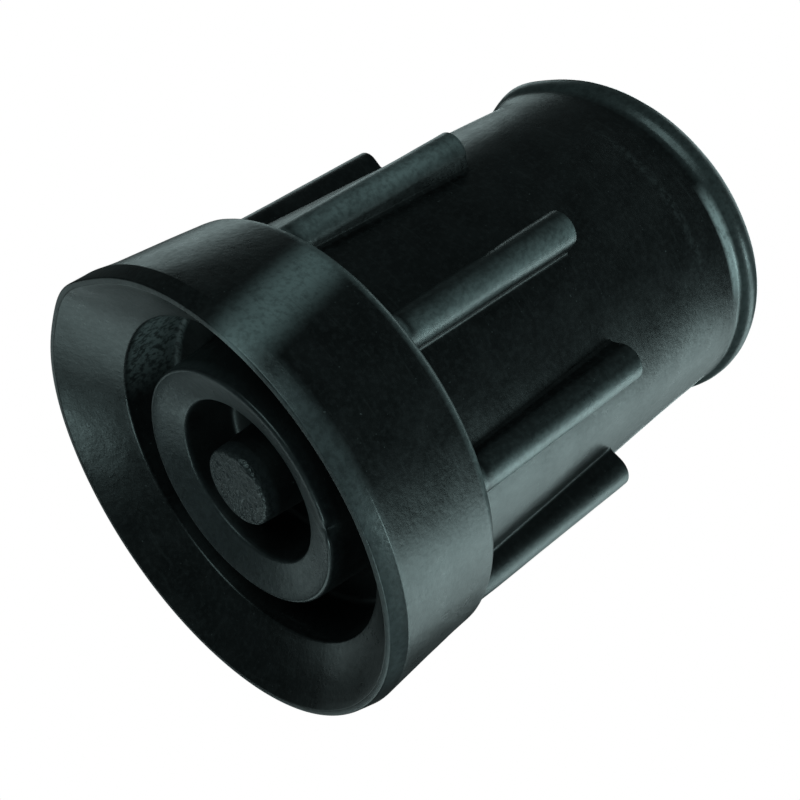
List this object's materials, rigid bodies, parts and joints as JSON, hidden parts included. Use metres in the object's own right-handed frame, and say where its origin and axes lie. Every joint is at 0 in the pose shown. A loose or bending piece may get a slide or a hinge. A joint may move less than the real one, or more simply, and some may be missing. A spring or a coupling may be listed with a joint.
{
  "type": "cane tip",
  "caption": "Rubber tip for the end of a cane: ribbed sleeve with a rolled mouth, wide collar, and a dished tread with a ring and a centre stud that grip the floor.",
  "frame": {"origin": "centre of the tread plane, the plane of the narrow outer land that the tip stands on", "axes": "+Z along the bore axis from the tread to the mouth; +X through the crest of one rib"},
  "size_m": [0.038, 0.038, 0.0476],
  "materials": {
    "rubber": "satin, with a fine moulded grain"
  },
  "bodies": {
    "root": {"tip": "rubber"}
  },
  "joints": []
}
